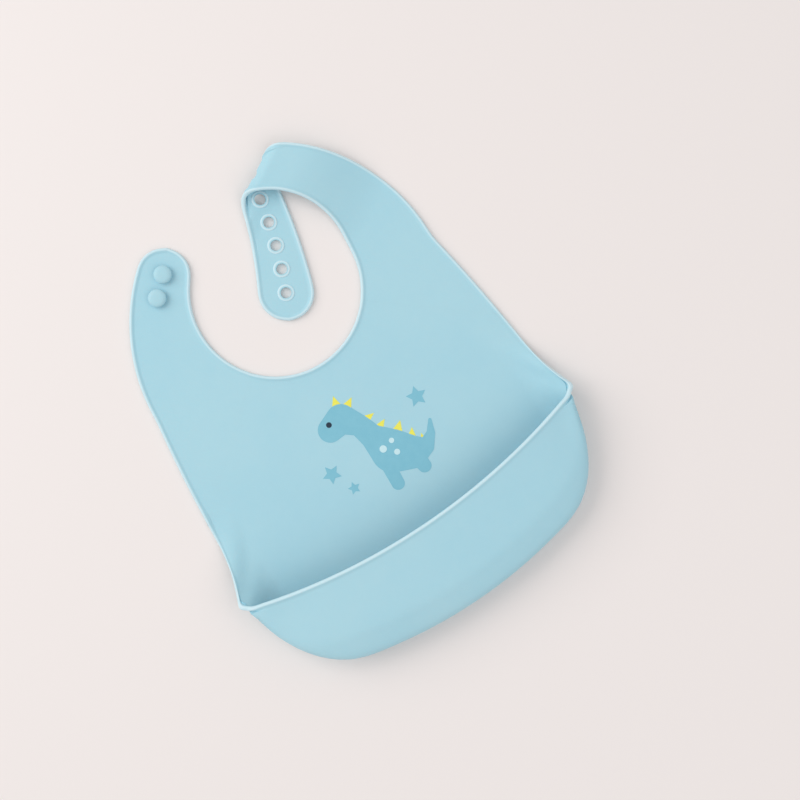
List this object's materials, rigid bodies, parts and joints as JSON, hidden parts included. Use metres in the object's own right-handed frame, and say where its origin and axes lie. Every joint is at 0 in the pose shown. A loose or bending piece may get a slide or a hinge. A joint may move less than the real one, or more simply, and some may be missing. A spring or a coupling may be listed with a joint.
{
  "type": "silicone bib with food pocket",
  "caption": "Soft silicone baby bib with a wide food pocket, a neck opening, a stud strap and a folding size strap with ringed holes.",
  "frame": {"origin": "on the flat back of the apron, on its centre line, level with the middle of the pocket's mouth, where it rests on the table", "axes": "+Y from the food pocket up to the neck opening, +X to the side of the strap with the size holes, +Z out of the front of the bib, up when it lies on its back"},
  "size_m": [0.23, 0.2921, 0.027],
  "materials": {
    "silicone": "soft matte moulded silicone, pale blue",
    "stud_silicone": "soft matte moulded silicone, pale blue",
    "ink_teal": "matte silicone ink",
    "ink_yellow": "matte silicone ink",
    "ink_dark": "matte silicone ink",
    "ink_pale": "matte silicone ink"
  },
  "bodies": {
    "apron": {"apron_panel": "silicone", "side_wall_left": "silicone", "side_wall_right": "silicone", "pocket_trough": "silicone", "print_animal": "ink_teal", "print_plates": "ink_yellow", "print_stars": "ink_teal", "print_eye": "ink_dark", "print_spots": "ink_pale"},
    "pocket_flap": {"pocket_front": "silicone", "pocket_lip": "silicone"},
    "left_strap": {"stud_strap": "silicone", "stud_upper": "stud_silicone", "stud_lower": "stud_silicone"},
    "right_strap": {"neck_strap": "silicone", "strap_fold": "silicone"},
    "tab": {"size_tab": "silicone"}
  },
  "joints": [
    {"name": "pocket_press", "type": "slide", "parent": "apron", "child": "pocket_flap", "axis": [0, 0, -1], "range_m": [0, 0.012], "stiffness_N_per_m": 150, "deforming": ["pocket_trough"]},
    {"name": "stud_strap_lift", "type": "hinge", "parent": "apron", "child": "left_strap", "pos_m": [-0.0707, 0.124, 0.0028], "axis": [1, 0, 0], "range_deg": [0, 90], "stiffness_Nm_per_rad": 0.01},
    {"name": "neck_strap_lift", "type": "hinge", "parent": "apron", "child": "right_strap", "pos_m": [0.0739, 0.124, 0.0028], "axis": [1, 0, 0], "range_deg": [0, 90], "stiffness_Nm_per_rad": 0.01},
    {"name": "tab_fold", "type": "hinge", "parent": "right_strap", "child": "tab", "pos_m": [0.0404, 0.21169, 0.0072], "axis": [0.8746, 0.4848, 0], "range_deg": [0, 150], "deforming": ["strap_fold"]}
  ]
}
